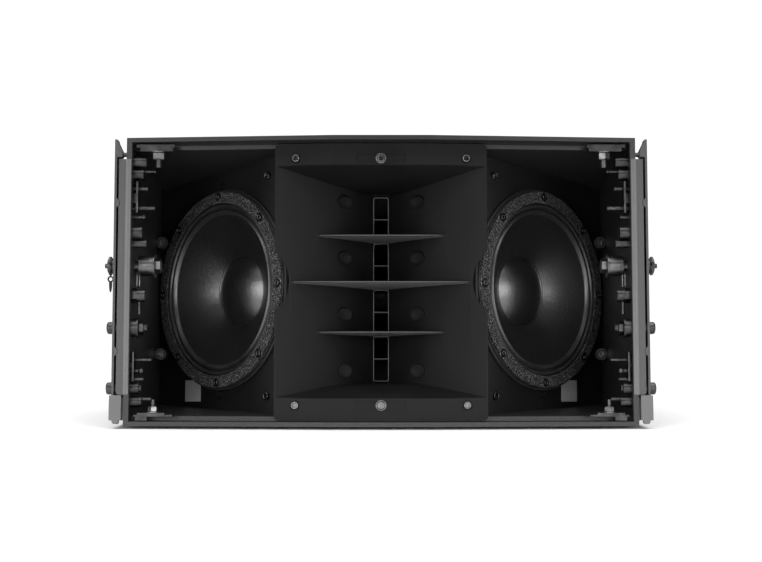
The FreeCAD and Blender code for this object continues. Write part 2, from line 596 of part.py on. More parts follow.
barrel = fuse([rod(254, PIN_Y, PIN_Z, X_AXIS, 5.7, INNER_X - 254),
               rod(238, PIN_Y, PIN_Z, X_AXIS, 10.3, 16),
               rod(237.2, PIN_Y, PIN_Z, X_AXIS, 12.0, 1.0),
               hexagon(231.4, PIN_Y, PIN_Z, X_AXIS, 14.0, 5.8)])
barrel = barrel.cut(rod(238.6, PIN_Y, PIN_Z, X_AXIS, 7.2, BORE_END - 238.6))
barrel = barrel.cut(rod(250, PIN_Y, PIN_Z, X_AXIS, PIN_RADIUS + RUNNING, 20))
keep_pair("plunger_barrel", barrel)

SPRING_START = COLLAR_X + 2.9
SPRING_LENGTH = BORE_END - 0.3 - SPRING_START
keep_pair("plunger_spring", sleeve(SPRING_START, PIN_Y, PIN_Z, X_AXIS, 6.4, 4.6, SPRING_LENGTH))

# Bolts that hold the plate to the side wall
bolt_head = turned([(0, 0), (6.4, 0), (6.4, 4.6), (5.7, 6.4, 3.8, 7.0), (0, 7.0)])
LARGE_BOLT_Z = -48.0
SMALL_BOLT_Z = -110.5
NUT_X = 245.6
wall_bolts = []
for z, inner_x in ((LARGE_BOLT_Z, 242.0), (SMALL_BOLT_Z, 247.4)):
    head = bolt_head.copy()
    head.Placement = FreeCAD.Placement(V(PLATE_OUT, BOLT_Y, z), FreeCAD.Rotation(Z_AXIS, X_AXIS))
    wall_bolts.append(fuse([head, rod(inner_x, BOLT_Y, z, X_AXIS, BOLT_RADIUS, PLATE_OUT - inner_x)]))
wall_bolts[0] = wall_bolts[0].fuse(hexagon(NUT_X, BOLT_Y, LARGE_BOLT_Z, X_AXIS, 13.0, 4.6)).removeSplitter()

# Studs without an outer head: (height, inner end, radius, radius of the ball on the end)
STUDS = ((125.5, 246.0, 1.9, 0), (115.6, 236.6, 1.3, 1.9), (97.4, 244.8, 1.9, 2.2), (77.0, 235.6, 2.1, 0),
         (67.6, 247.6, 1.9, 2.6), (51.3, 249.6, 3.0, 0), (39.6, 245.6, 1.9, 0), (-14.2, 246.0, 2.6, 0),
         (-81.0, 237.3, 1.4, 0), (-92.4, 248.0, 2.0, 3.2), (-101.0, 245.4, 1.8, 0), (-121.6, 237.3, 2.0, 0))
for z, inner_x, radius, ball in STUDS:
    stud = rod(inner_x, BOLT_Y, z, X_AXIS, radius, OUTER_X - 1.0 - inner_x)
    if ball:
        stud = stud.fuse(Part.makeSphere(ball, V(inner_x, BOLT_Y, z)))
    wall_bolts.append(stud.removeSplitter())
wall_bolts.append(rod(250.9, BOLT_Y, -33.6, Z_AXIS, 1.7, 12.5))

# Spacers on the inside of the wall: (height, inner end, radius)
SPACERS = ((125.5, 244.4, 6.3), (112.4, 247.3, 6.0), (51.3, 247.9, 7.2), (39.6, 243.8, 4.2),
           (-14.2, 244.4, 6.8), (SMALL_BOLT_Z, 249.6, 6.2), (-124.2, 246.6, 5.6))
wall_spacers = []
for z, inner_x, radius in SPACERS:
    wall_spacers.append(rod(inner_x, BOLT_Y, z, X_AXIS, radius, INNER_X - inner_x))
wall_spacers[4] = wall_spacers[4].fuse(hexagon(252.4, BOLT_Y, -14.2, X_AXIS, 13.6, INNER_X - 252.4))
wall_spacers.append(fuse([rod(252, BOLT_Y, LARGE_BOLT_Z, X_AXIS, 9.4, INNER_X - 252),
                          rod(250.4, BOLT_Y, LARGE_BOLT_Z, X_AXIS, 10.9, 1.7)]))
for z, radius in ((LARGE_BOLT_Z, 6.6), (SMALL_BOLT_Z, 6.6), (TAB_Z[0], 5.2), (TAB_Z[1], 5.2)):
    wall_spacers.append(rod(OUTER_X, BOLT_Y, z, X_AXIS, radius, PLATE_IN - OUTER_X))
bolts = Part.makeCompound(wall_bolts)
wall_spacers = [spacer.cut(bolts) for spacer in wall_spacers]
parts["wall_bolts"] = Part.makeCompound(wall_bolts + [mirrored(s) for s in wall_bolts])

backing = [block(252.4, 254.6, BOLT_Y - 7, BOLT_Y + 7, 71.5, 104.5),
           block(254.4, 256.4, BOLT_Y - 7, BOLT_Y + 7, -103.4, -72.8)]
stand_offs = [block(254.6, INNER_X, BOLT_Y - 5, BOLT_Y + 5, 82, 92),
              block(256.4, INNER_X, BOLT_Y - 5, BOLT_Y + 5, -89, -84)]
backing = [plate_piece.fuse(foot).removeSplitter().cut(bolts)
           for plate_piece, foot in zip(backing, stand_offs)]
parts["backing_plates"] = Part.makeCompound(backing + [mirrored(s) for s in backing])
parts["wall_spacers"] = Part.makeCompound(wall_spacers + [mirrored(s) for s in wall_spacers])

keep_pair("rigging_plate", rigging_plate.cut(bolts))
pin_room = rod(200, PIN_Y, PIN_Z, X_AXIS, PIN_RADIUS + RUNNING, 100)
keep_pair("side_panel", side_panel.cut(bolts).cut(pin_room))

lower_bracket = fuse([block(265.6, 278.0, -2.2, 0, -143.2, -117.6),
                      block(265.6, 267.6, -2.2, 9, -143.2, -117.6),
                      rod(271.5, -1.1, -146.8, Z_AXIS, 1.1, 5)])
foot_pin = front([(268.2, -143.2), (274.8, -143.2), (274.8, -145.6), (273.4, -147), (269.6, -147),
                  (268.2, -145.6)], -2.2, 4)
lower_bracket = fuse([lower_bracket, foot_pin, block(OUTER_X, 265.6, 3, 9, -140, -120)])
parts["lower_brackets"] = both(lower_bracket)

# Flat brackets in the corners:
# (strips, nut's X, across flats, nut face, nut height, stud radius, stud end)
BRACKETS = (([(214, 254, 139.2, 142.6), (216, 250, 135.4, 139.3)], 231.8, 8.8, 135.4, -8.2, 3.1, 118.8),
            ([(214, 254, -139.4, -137.6), (222, 250, -137.7, -135.6)], 234.4, 7.8, -135.6, 6.4, 2.2, -121.8))
corner_brackets = []
for strips, nut_x, across, face_z, nut_height, stud_radius, stud_end in BRACKETS:
    pieces = [block(x0, x1, 2.5, 11.5, z0, z1) for x0, x1, z0, z1 in strips]
    away = V(0, 0, math.copysign(1, nut_height))
    pieces.append(hexagon(nut_x, 7, face_z, away, across, abs(nut_height)))
    pieces.append(rod(nut_x, 7, face_z, away, stud_radius, abs(stud_end - face_z)))
    corner_brackets.append(fuse(pieces))
bracket_foot = block(240, 252, 2.5, 11.5, -143.4, -139.3)
corner_brackets[1] = corner_brackets[1].fuse(bracket_foot).removeSplitter()
parts["corner_brackets"] = Part.makeCompound(corner_brackets + [mirrored(s) for s in corner_brackets])


# ---------------------------------------------------------------- rear rigging and handles

BRACKET_HALF = 4.6            # half the gap between the cheeks
CHEEK = 4.0
pivot_base = block(-30, 30, BACK_Y, BACK_Y + 4, PIVOT_Z - 24, PIVOT_Z + 20)
pieces = [pivot_base]
for side in (-1, 1):
    x0 = min(side * BRACKET_HALF, side * (BRACKET_HALF + CHEEK))
    pieces.append(profile([(BACK_Y + 1, PIVOT_Z - 20), (PIVOT_Y, PIVOT_Z - 13), (PIVOT_Y + 13, PIVOT_Z,
                           PIVOT_Y, PIVOT_Z + 13), (BACK_Y + 1, PIVOT_Z + 18)], x0, x0 + CHEEK))
pivot_bracket = fuse(pieces)
PIVOT_RADIUS = 5.0
pivot_bracket = pivot_bracket.cut(rod(-40, PIVOT_Y, PIVOT_Z, X_AXIS, PIVOT_RADIUS, 80))
parts["rear_pivot_bracket"] = pivot_bracket
pin_half = BRACKET_HALF + CHEEK + 2.4
parts["rear_pivot_pin"] = fuse([rod(-pin_half, PIVOT_Y, PIVOT_Z, X_AXIS, PIVOT_RADIUS, 2 * pin_half),
                                rod(pin_half - 1.6, PIVOT_Y, PIVOT_Z, X_AXIS, 8, 2.4),
                                rod(-pin_half - 0.8, PIVOT_Y, PIVOT_Z, X_AXIS, 8, 2.4)])

ARM_HALF_WIDTH = 12.0
arm_x = -ARM_THICK / 2
arm = fuse([block(arm_x, -arm_x, PIVOT_Y - ARM_HALF_WIDTH, PIVOT_Y + ARM_HALF_WIDTH,
                  PIVOT_Z - ARM_REACH, PIVOT_Z),
            rod(arm_x, PIVOT_Y, PIVOT_Z, X_AXIS, ARM_HALF_WIDTH, ARM_THICK),
            rod(arm_x, PIVOT_Y, PIVOT_Z - ARM_REACH, X_AXIS, ARM_HALF_WIDTH, ARM_THICK)])
arm = arm.cut(rod(arm_x, PIVOT_Y, PIVOT_Z, X_AXIS, PIVOT_RADIUS + RUNNING, ARM_THICK))
for reach in (ARM_REACH, ARM_REACH - 18, ARM_REACH - 36, ARM_REACH - 54):
    arm = arm.cut(rod(arm_x, PIVOT_Y, PIVOT_Z - reach, X_AXIS, MOUNT_RADIUS, ARM_THICK))
arm.rotate(V(0, PIVOT_Y, PIVOT_Z), X_AXIS, WEDGE)    # hangs plumb once the box stands on its base
parts["rear_arm"] = arm

lug_pieces = [block(-30, 30, BACK_Y, BACK_Y + 4, LUG_Z - 22, LUG_Z + 14)]
for side in (-1, 1):
    x0 = min(side * BRACKET_HALF, side * (BRACKET_HALF + CHEEK))
    lug_pieces.append(profile([(BACK_Y + 1, LUG_Z - 18), (PIVOT_Y, LUG_Z - 12), (PIVOT_Y + 12, LUG_Z,
                               PIVOT_Y, LUG_Z + 12), (BACK_Y + 1, LUG_Z + 12)], x0, x0 + CHEEK))
lug = fuse(lug_pieces).cut(rod(-40, PIVOT_Y, LUG_Z, X_AXIS, MOUNT_RADIUS, 80))
parts["rear_lower_lug"] = lug

# Bar handles on the slanting rear corners
across_x = turn_y / turn_length
across_y = -turn_x / turn_length
grip_x = (OUTER_X + BACK_X) / 2
grip_y = (CORNER_Y + BACK_Y) / 2
GRIP_STAND = 30.0
GRIP_HALF = 56.0
out = V(across_x, across_y, 0)
centre = V(grip_x, grip_y, 0) + out * GRIP_STAND
handle = [rod(centre.x, centre.y, -GRIP_HALF, Z_AXIS, 7.5, 2 * GRIP_HALF)]
for z in (-GRIP_HALF + 9, GRIP_HALF - 9):
    handle.append(rod(grip_x, grip_y, z, out, 5.5, GRIP_STAND - 2))
    handle.append(rod(grip_x, grip_y, z, out, 13.0, 4.0))
parts["rear_handles"] = both(fuse(handle))

# ---------------------------------------------------------------- input plate, crossover, wiring

PLATE_X = -128.0
input_plate = block(PLATE_X - 46, PLATE_X + 46, BACK_Y, BACK_Y + 3, -66, 42)
SOCKET_Z = (14.0, -36.0)
SOCKET_RADIUS = 13.0
socket_holes = [rod(PLATE_X, BACK_Y - 12, z, Y_AXIS, SOCKET_RADIUS, 20) for z in SOCKET_Z]
parts["input_plate"] = input_plate.cut(Part.makeCompound(socket_holes))
socket_parts = []
for z in SOCKET_Z:
    body = rod(PLATE_X, BACK_Y - 11, z, Y_AXIS, SOCKET_RADIUS, 14)
    rim = block(PLATE_X - 18, PLATE_X + 18, BACK_Y + 3, BACK_Y + 5, z - 20, z + 20)
    ring_gap = sleeve(PLATE_X, BACK_Y - 9, z, Y_AXIS, 11.0, 6.0, 20)
    socket_parts.append(body.fuse(rim).removeSplitter().cut(ring_gap))
parts["input_sockets"] = Part.makeCompound(socket_parts)
back_cuts = Part.makeCompound(socket_holes)
parts["back_panel"] = back_panel.cut(back_cuts)

BOARD_X = 110.0
BOARD_Y = BACK_Y - PANEL - 12
board = block(BOARD_X - 70, BOARD_X + 70, BOARD_Y, BOARD_Y + 2, -90, 70)
stands = [rod(BOARD_X + dx, BOARD_Y + 2, z, Y_AXIS, 4, 10) for dx in (-62, 62) for z in (-82, 62)]
parts["crossover_board"] = fuse([board, *stands])
components = []
for dx, z, radius, height in ((-38, 34, 24, 22), (28, 34, 28, 26), (-36, -44, 20, 18)):
    components.append(sleeve(BOARD_X + dx, BOARD_Y - height, z, Y_AXIS, radius, radius * 0.45, height))
for dx in (2, 26, 50):
    components.append(rod(BOARD_X + dx, BOARD_Y - 12, -78, Z_AXIS, 10, 46))
parts["crossover_parts"] = Part.makeCompound(components)


def wire(points, radius):
    """Round cable along straight runs joined by tangent arcs."""
    edges = []
    here = points[0]
    for before, corner, after in zip(points, points[1:], points[2:]):
        to_corner = corner - before
        from_corner = after - corner
        run = min(to_corner.Length, from_corner.Length)
        cut_back = 0.45 * run
        start = corner - to_corner.normalize() * cut_back
        end = corner + from_corner.normalize() * cut_back
        half = to_corner.getAngle(from_corner) / 2
        inward = (from_corner - to_corner).normalize()
        bend = cut_back / math.tan(half)
        middle = corner + inward * (bend / math.cos(half) - bend)
        edges.append(Part.makeLine(here, start))
        edges.append(Part.Arc(start, middle, end).toShape())
        here = end
    edges.append(Part.makeLine(here, points[-1]))
    spine = Part.Wire(edges)
    first = (points[1] - points[0]).normalize()
    section = Part.Wire([Part.makeCircle(radius, points[0], first)])
    return spine.makePipeShell([section], True, False)


CABLE = 2.4
BOARD_BACK = BOARD_Y
wires = [wire([V(PLATE_X, BACK_Y - 11.1, 14), V(PLATE_X, BACK_Y - 40, 14), V(-92, BACK_Y - 62, 14),
               V(-30, BACK_Y - 62, 12), V(16, BACK_Y - 54, 10), V(38, BACK_Y - 34, 8)], CABLE),
         wire([V(92, BOARD_BACK - 0.1, -12), V(92, BACK_Y - 48, -12), V(66, BACK_Y - 76, -4),
               V(26, BACK_Y - 106, 0), V(2, BACK_Y - 126, 0), V(2, DRIVER_Y + 70.2, 0)], CABLE),
         wire([V(160, BOARD_BACK - 0.1, -14), V(160, BACK_Y - 64, -14), V(160, BACK_Y - 110, -10),
               V(150, BACK_Y - 150, 0), V(138, BACK_Y - 184, 0), V(131, 196, 0)], CABLE)]
parts["internal_wiring"] = Part.makeCompound(wires)


# ---------------------------------------------------------------- standing on its base

def settle(shape):
    """Tips the box onto its bottom panel and moves the origin under the middle of the whole."""
    shape = shape.copy()
    shape.rotate(ORIGIN, X_AXIS, -WEDGE)
    shape.translate(shift)
    return shape


foot_lift = HALF_HEIGHT * math.cos(math.radians(WEDGE)) + FOOT
shift = V(0, 0, foot_lift)
placed = {name: settle(shape) for name, shape in parts.items()}
limits = Part.makeCompound(list(placed.values())).optimalBoundingBox(False)
shift = V(0, -(limits.YMin + limits.YMax) / 2, foot_lift)
placed = {name: settle(shape) for name, shape in parts.items()}

feet = []
for x, y in ((200, 78), (-200, 78), (170, 380), (-170, 380)):
    feet.append(rod(x, y + shift.y, 0, Z_AXIS, FOOT_RADIUS, FOOT))
placed["rubber_feet"] = Part.makeCompound(feet)


def write_parts():
    for name, shape in placed.items():
        shape.exportStep("parts/" + name + ".step")


write_parts()
print(len(placed), "nodes, shift", tuple(round(v, 4) for v in shift))
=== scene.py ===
"""Looks of the line array element: finishes, detailed woofer parts, hardware detail, studio and camera."""

import json
import math

import bmesh
import bpy
from mathutils import Matrix, Vector
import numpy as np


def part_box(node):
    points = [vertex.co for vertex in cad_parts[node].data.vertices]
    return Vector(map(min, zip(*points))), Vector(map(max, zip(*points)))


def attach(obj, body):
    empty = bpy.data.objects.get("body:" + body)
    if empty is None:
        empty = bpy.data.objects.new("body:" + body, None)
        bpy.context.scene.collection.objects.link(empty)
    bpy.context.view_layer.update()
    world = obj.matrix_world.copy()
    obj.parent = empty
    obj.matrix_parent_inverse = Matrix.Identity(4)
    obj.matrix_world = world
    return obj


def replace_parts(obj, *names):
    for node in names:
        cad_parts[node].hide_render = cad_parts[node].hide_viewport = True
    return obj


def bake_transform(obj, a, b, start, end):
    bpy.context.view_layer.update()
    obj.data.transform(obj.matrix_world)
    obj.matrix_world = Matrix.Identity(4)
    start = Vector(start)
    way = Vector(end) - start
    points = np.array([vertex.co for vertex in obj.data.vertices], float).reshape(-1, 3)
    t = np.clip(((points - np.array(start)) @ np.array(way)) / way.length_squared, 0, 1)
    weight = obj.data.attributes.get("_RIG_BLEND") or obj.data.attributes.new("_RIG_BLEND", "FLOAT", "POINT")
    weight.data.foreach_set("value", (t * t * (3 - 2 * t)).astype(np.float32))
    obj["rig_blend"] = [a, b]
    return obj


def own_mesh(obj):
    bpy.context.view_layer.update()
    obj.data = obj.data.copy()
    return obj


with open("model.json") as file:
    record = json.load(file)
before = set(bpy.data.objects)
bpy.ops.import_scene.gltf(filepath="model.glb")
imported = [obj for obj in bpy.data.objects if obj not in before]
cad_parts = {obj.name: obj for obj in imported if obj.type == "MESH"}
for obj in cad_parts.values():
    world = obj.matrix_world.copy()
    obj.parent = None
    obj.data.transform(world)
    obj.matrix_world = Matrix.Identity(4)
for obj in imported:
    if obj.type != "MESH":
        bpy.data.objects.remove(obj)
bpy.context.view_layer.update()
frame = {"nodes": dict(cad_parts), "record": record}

MM = 0.001
WEDGE = math.radians(4.4)         # the box leans back by this when it stands on its base
FOOT_REACH = 66 * MM              # front edge of the feet, behind the box's front corners
FRONT_HEIGHT = 151.66 * MM        # centre of the front above the floor

# ---------------------------------------------------------------- places

FRONT_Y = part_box("rubber_feet")[0].y - FOOT_REACH
BOX = Matrix.Translation((0, FRONT_Y, FRONT_HEIGHT)) @ Matrix.Rotation(-WEDGE, 4, "X")

WOOFER_TILT = math.radians(45.6)
WOOFER_X = 180.7 * MM
WOOFER_Y = 95.0 * MM


def woofer_matrix(side):
    """Woofer axes in the row frame: Z out of the gasket's front face, Y up the box."""
    sine = side * math.sin(WOOFER_TILT)
    cosine = math.cos(WOOFER_TILT)
    return BOX @ Matrix(((cosine, 0, sine, side * WOOFER_X),
                         (sine, 0, -cosine, WOOFER_Y),
                         (0, 1, 0, 0),
                         (0, 0, 0, 1)))


SIDES = {"left": -1, "right": 1}


# ---------------------------------------------------------------- finishes

class Finish:
    """A material whose colour, roughness and relief vary over the surface. Sizes are in metres."""

    def __init__(self, name, **settings):
        self.material = bpy.data.materials.new(name)
        self.material.use_nodes = True
        self.tree = self.material.node_tree
        self.shader = self.tree.nodes["Principled BSDF"]
        for socket, value in settings.items():
            self.shader.inputs[socket.replace("_", " ")].default_value = value
        self.place = self.node("ShaderNodeTexCoord").outputs["Object"]
        self.normal = None

    def node(self, kind, **values):
        made = self.tree.nodes.new(kind)
        for key, value in values.items():
            setattr(made, key, value)
        return made

    def join(self, source, target):
        self.tree.links.new(source, target)

    def stretched(self, scale):
        """The surface's coordinates, scaled differently along X, Y and Z."""
        mapping = self.node("ShaderNodeMapping")
        mapping.inputs["Scale"].default_value = scale
        self.join(self.place, mapping.inputs["Vector"])
        return mapping.outputs["Vector"]

    def noise(self, size, detail=3.0, place=None, distortion=0.0):
        texture = self.node("ShaderNodeTexNoise")
        texture.inputs["Scale"].default_value = 1 / size
        texture.inputs["Detail"].default_value = detail
        texture.inputs["Distortion"].default_value = distortion
        self.join(place or self.place, texture.inputs["Vector"])
        return texture.outputs["Fac"]

    def cells(self, size):
        texture = self.node("ShaderNodeTexVoronoi")
        texture.inputs["Scale"].default_value = 1 / size
        self.join(self.place, texture.inputs["Vector"])
        return texture.outputs["Distance"]

    def scaled(self, value, factor):
        product = self.node("ShaderNodeMath", operation="MULTIPLY")
        self.join(value, product.inputs[0])
        product.inputs[1].default_value = factor
        return product.outputs[0]

    def mixed(self, first, share, second):
        """The first value by its share, and the second by the rest."""
        total = self.node("ShaderNodeMath", operation="ADD")
        self.join(self.scaled(first, share), total.inputs[0])
        self.join(self.scaled(second, 1 - share), total.inputs[1])
        return total.outputs[0]

    def colours(self, value, *stops):
        """Base colour from a ramp of (place, grey or colour) stops."""
        ramp = self.node("ShaderNodeValToRGB")
        elements = ramp.color_ramp.elements
        while len(elements) < len(stops):
            elements.new(0.5)
        for element, (place, colour) in zip(elements, stops):
            element.position = place
            element.color = (colour, colour, colour, 1) if isinstance(colour, float) else (*colour, 1)
        self.join(value, ramp.inputs["Fac"])
        self.join(ramp.outputs["Color"], self.shader.inputs["Base Color"])

    def rough(self, value, low, high):
        """Roughness between low and high."""
        spread = self.node("ShaderNodeMapRange")
        for socket, number in (("From Min", 0.25), ("From Max", 0.75), ("To Min", low), ("To Max", high)):
            spread.inputs[socket].default_value = number
        self.join(value, spread.inputs["Value"])
        self.join(spread.outputs["Result"], self.shader.inputs["Roughness"])

    def relief(self, value, depth, strength=1.0):
        """Bump of the given depth, on top of any earlier one."""
        bump = self.node("ShaderNodeBump")
        bump.inputs["Strength"].default_value = strength
        bump.inputs["Distance"].default_value = depth
        self.join(value, bump.inputs["Height"])
        if self.normal is not None:
            self.join(self.normal, bump.inputs["Normal"])
        self.normal = bump.outputs["Normal"]
        for socket in ("Normal", "Coat Normal"):
            self.join(self.normal, self.shader.inputs[socket])


def powder_coat(name, dark, light, rough_low, rough_high, grain=1.1 * MM, depth=0.12 * MM):
    """Textured powder coat: fine pebbled grain, with slow variation in colour and gloss."""
    finish = Finish(name)
    pebbles = finish.cells(grain)
    blotches = finish.noise(60 * MM, 4)
    fine = finish.noise(0.5 * MM, 2)
    finish.colours(finish.mixed(fine, 0.8, blotches), (0.3, dark), (0.72, light))
    finish.rough(finish.mixed(fine, 0.75, blotches), rough_low, rough_high)
    finish.relief(pebbles, depth, 0.5)
    finish.relief(fine, depth / 2, 0.5)
    return finish.material


def moulded_plastic(name, dark, light, rough_low, rough_high, gloss=0.5):
    """Satin moulded plastic with a fine spark-eroded grain."""
    finish = Finish(name, Specular_IOR_Level=gloss)
    grainy = finish.noise(0.45 * MM, 3)
    slow = finish.noise(45 * MM, 3)
    finish.colours(finish.mixed(grainy, 0.45, slow), (0.3, dark), (0.7, light))
    finish.rough(slow, rough_low, rough_high)
    finish.relief(grainy, 0.05 * MM, 0.35)
    return finish.material


def metal(name, dark, light, rough_low, rough_high, brushed=(1, 1, 1)):
    """Plated or machined metal with faint tool marks and handling marks."""
    finish = Finish(name, Metallic=1.0)
    marks = finish.noise(1.2 * MM, 4, finish.stretched(brushed))
    stains = finish.noise(9 * MM, 4)
    finish.colours(stains, (0.3, dark), (0.7, light))
    finish.rough(finish.mixed(marks, 0.5, stains), rough_low, rough_high)
    finish.relief(marks, 0.03 * MM, 0.4)
    return finish.material


def cone_paper():
    """Pressed paper pulp: matted fibres with a faint treated sheen."""
    finish = Finish("cone_paper", Coat_Weight=1.0, Coat_Roughness=0.3, Coat_IOR=2.0)
    fibres = finish.noise(1.6 * MM, 5, distortion=1.2)
    pulp = finish.noise(5.5 * MM, 4)
    finish.colours(fibres, (0.36, 0.003), (0.56, 0.007), (0.72, 0.03))
    finish.rough(pulp, 0.3, 0.42)
    finish.relief(fibres, 0.4 * MM, 0.5)
    finish.relief(finish.noise(3.2 * MM, 2), 0.55 * MM, 0.4)
    return finish.material


def surround_cloth():
    """Doped woven cloth: a fine weave under a slightly tacky coat."""
    finish = Finish("surround_cloth", Coat_Weight=0.8, Coat_Roughness=0.26, Coat_IOR=1.7)
    weave = finish.cells(0.8 * MM)
    slow = finish.noise(12 * MM, 3)
    finish.colours(slow, (0.3, 0.012), (0.7, 0.024))
    finish.rough(slow, 0.42, 0.6)
    finish.relief(weave, 0.12 * MM, 0.6)
    return finish.material


def gasket_foam():
    """Closed-cell gasket: grey flecks in black."""
    finish = Finish("gasket_foam", Specular_IOR_Level=0.3)
    flecks = finish.noise(1.1 * MM, 3)
    slow = finish.noise(20 * MM, 2)
    finish.colours(flecks, (0.42, 0.004), (0.56, 0.025), (0.68, 0.26))
    finish.rough(slow, 0.7, 0.9)
    finish.relief(flecks, 0.5 * MM, 0.8)
    return finish.material


def woven(name, dark, light):
    """Stiffened cloth."""
    finish = Finish(name, Sheen_Weight=0.2)
    threads = finish.cells(1.0 * MM)
    slow = finish.noise(10 * MM, 3)
    finish.colours(finish.mixed(threads, 0.5, slow), (0.25, dark), (0.6, light))
    finish.rough(slow, 0.65, 0.9)
    finish.relief(threads, 0.2 * MM, 0.7)
    return finish.material


def rubber(name, dark, light):
    """Matt moulded rubber."""
    finish = Finish(name)
    grain = finish.noise(0.8 * MM, 3)
    finish.colours(finish.noise(15 * MM, 3), (0.3, dark), (0.7, light))
    finish.rough(grain, 0.6, 0.85)
    finish.relief(grain, 0.08 * MM, 0.5)
    return finish.material


MATERIALS = {
    "cabinet_paint": powder_coat("cabinet_paint", 0.006, 0.016, 0.36, 0.5),
    "baffle_paint": powder_coat("baffle_paint", 0.0025, 0.006, 0.4, 0.55, depth=0.06 * MM),
    "horn_plastic": moulded_plastic("horn_plastic", 0.004, 0.0075, 0.42, 0.55, gloss=0.16),
    "frame_paint": powder_coat("frame_paint", 0.014, 0.028, 0.3, 0.42, grain=0.8 * MM, depth=0.05 * MM),
    "gasket_foam": gasket_foam(),
    "surround_cloth": surround_cloth(),
    "cone_paper": cone_paper(),
    "coil_copper": metal("coil_copper", (0.5, 0.2, 0.09), (0.8, 0.36, 0.18), 0.25, 0.4),
    "spider_cloth": woven("spider_cloth", (0.32, 0.2, 0.06), (0.5, 0.34, 0.12)),
    "motor_steel": metal("motor_steel", 0.05, 0.09, 0.35, 0.5),
    "zinc_steel": metal("zinc_steel", 0.14, 0.26, 0.26, 0.42),
    "black_screw": metal("black_screw", 0.07, 0.14, 0.2, 0.34),
    "dark_spacer": metal("dark_spacer", 0.035, 0.08, 0.28, 0.42),
    "rigging_paint": powder_coat("rigging_paint", 0.035, 0.06, 0.36, 0.5, grain=0.9 * MM),
    "grey_bracket": powder_coat("grey_bracket", 0.08, 0.13, 0.36, 0.5, grain=0.9 * MM),
    "plunger_steel": metal("plunger_steel", 0.1, 0.17, 0.3, 0.42, brushed=(0.2, 1, 1)),
    "spring_steel": metal("spring_steel", 0.35, 0.5, 0.22, 0.35),
    "foot_rubber": rubber("foot_rubber", 0.008, 0.02),
    "light_plate": powder_coat("light_plate", 0.3, 0.42, 0.4, 0.55),
    "input_metal": powder_coat("input_metal", 0.018, 0.03, 0.38, 0.5),
    "socket_plastic": moulded_plastic("socket_plastic", 0.012, 0.03, 0.3, 0.45),
    "board_green": moulded_plastic("board_green", (0.004, 0.05, 0.02), (0.008, 0.09, 0.035), 0.25, 0.4),
    "component_shell": moulded_plastic("component_shell", (0.25, 0.07, 0.02), (0.42, 0.12, 0.04), 0.3, 0.5),
    "wire_sheath": rubber("wire_sheath", 0.012, 0.03),
    # diaphragm_metal is made as dark as the shade in the throat: painted shade, darker than the diaphragm's
    # bare metal
    "diaphragm_metal": metal("diaphragm_metal", 0.03, 0.05, 0.4, 0.55),
}


def dress_cad_nodes():
    """Gives each CAD node its slot's finish."""
    for entry in frame["record"]["subparts"]:
        mesh = frame["nodes"][entry["node"]].data
        mesh.materials.clear()
        mesh.materials.append(MATERIALS[entry["material_slot"]])


dress_cad_nodes()


# ---------------------------------------------------------------- mesh helpers

def soften(nodes, width, angle=38):
    """Rounds the hard edges of CAD nodes a little, so that they catch light."""
    for name in nodes:
        piece = frame["nodes"][name]
        weld = piece.modifiers.new("weld", "WELD")
        weld.merge_threshold = 0.005 * MM
        bevel = piece.modifiers.new("soft_edges", "BEVEL")
        bevel.width = width
        bevel.segments = 2
        bevel.limit_method = "ANGLE"
        bevel.angle_limit = math.radians(angle)
        flat = piece.modifiers.new("face_normals", "WEIGHTED_NORMAL")
        flat.keep_sharp = True


def lathe(made, points, matrix, turns=160, closed=False):
    """Turns a profile of (radius, height) points about the matrix's Z axis."""
    rings = []
    for i in range(turns):
        turn = math.tau * i / turns
        rings.append([made.verts.new(matrix @ Vector((r * math.cos(turn), r * math.sin(turn), z)))
                      for r, z in points])
    steps = range(len(points)) if closed else range(len(points) - 1)
    for ring, after in zip(rings, rings[1:] + rings[:1]):
        for j in steps:
            k = (j + 1) % len(points)
            made.faces.new((ring[j], after[j], after[k], ring[k]))


def tube(made, path, radius, around=12, closed=False):
    """Round bar along a path of points, with flat ends. radius is a number or one for each point."""
    radii = radius if isinstance(radius, list) else [radius] * len(path)
    rings = []
    sideways = None
    for i, point in enumerate(path):
        before = path[i - 1] if i or closed else path[0]
        after = path[(i + 1) % len(path)] if closed or i + 1 < len(path) else path[-1]
        along = (after - before).normalized()
        if sideways is None:
            sideways = along.orthogonal().normalized()
        sideways = (sideways - along * sideways.dot(along)).normalized()
        upward = along.cross(sideways)
        rings.append([made.verts.new(point + radii[i] * (math.cos(math.tau * j / around) * sideways
                                                         + math.sin(math.tau * j / around) * upward))
                      for j in range(around)])
    pairs = list(zip(rings, rings[1:]))
    if closed:
        pairs.append((rings[-1], rings[0]))
    else:
        made.faces.new(rings[0])
        made.faces.new(rings[-1])
    for ring, after in pairs:
        for j in range(around):
            k = (j + 1) % around
            made.faces.new((ring[j], ring[k], after[k], after[j]))


def keep(name, made, slot, body=None, sharp=32):
    """Makes the mesh a piece of the object with the slot's finish, riding on the body."""
    bmesh.ops.remove_doubles(made, verts=made.verts, dist=0.001 * MM)
    bmesh.ops.recalc_face_normals(made, faces=made.faces)
    mesh = bpy.data.meshes.new(name)
    made.to_mesh(mesh)
    made.free()
    for face in mesh.polygons:
        face.use_smooth = True
    mesh.set_sharp_from_angle(angle=math.radians(sharp))
    mesh.materials.append(MATERIALS[slot])
    piece = bpy.data.objects.new(name, mesh)
    bpy.context.scene.collection.objects.link(piece)
    if body:
        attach(piece, body)
    return piece


def along(origin, direction):
    """Matrix whose Z axis points along the direction, both in the box frame, in metres."""
    turn = Vector(direction).to_track_quat("Z", "Y").to_matrix().to_4x4()
    return BOX @ Matrix.Translation(origin) @ turn


def shell(points, thickness):
    """Closed profile of a sheet under the given line of points."""
    return points + [(r, z - thickness) for r, z in reversed(points)]


# ---------------------------------------------------------------- woofers

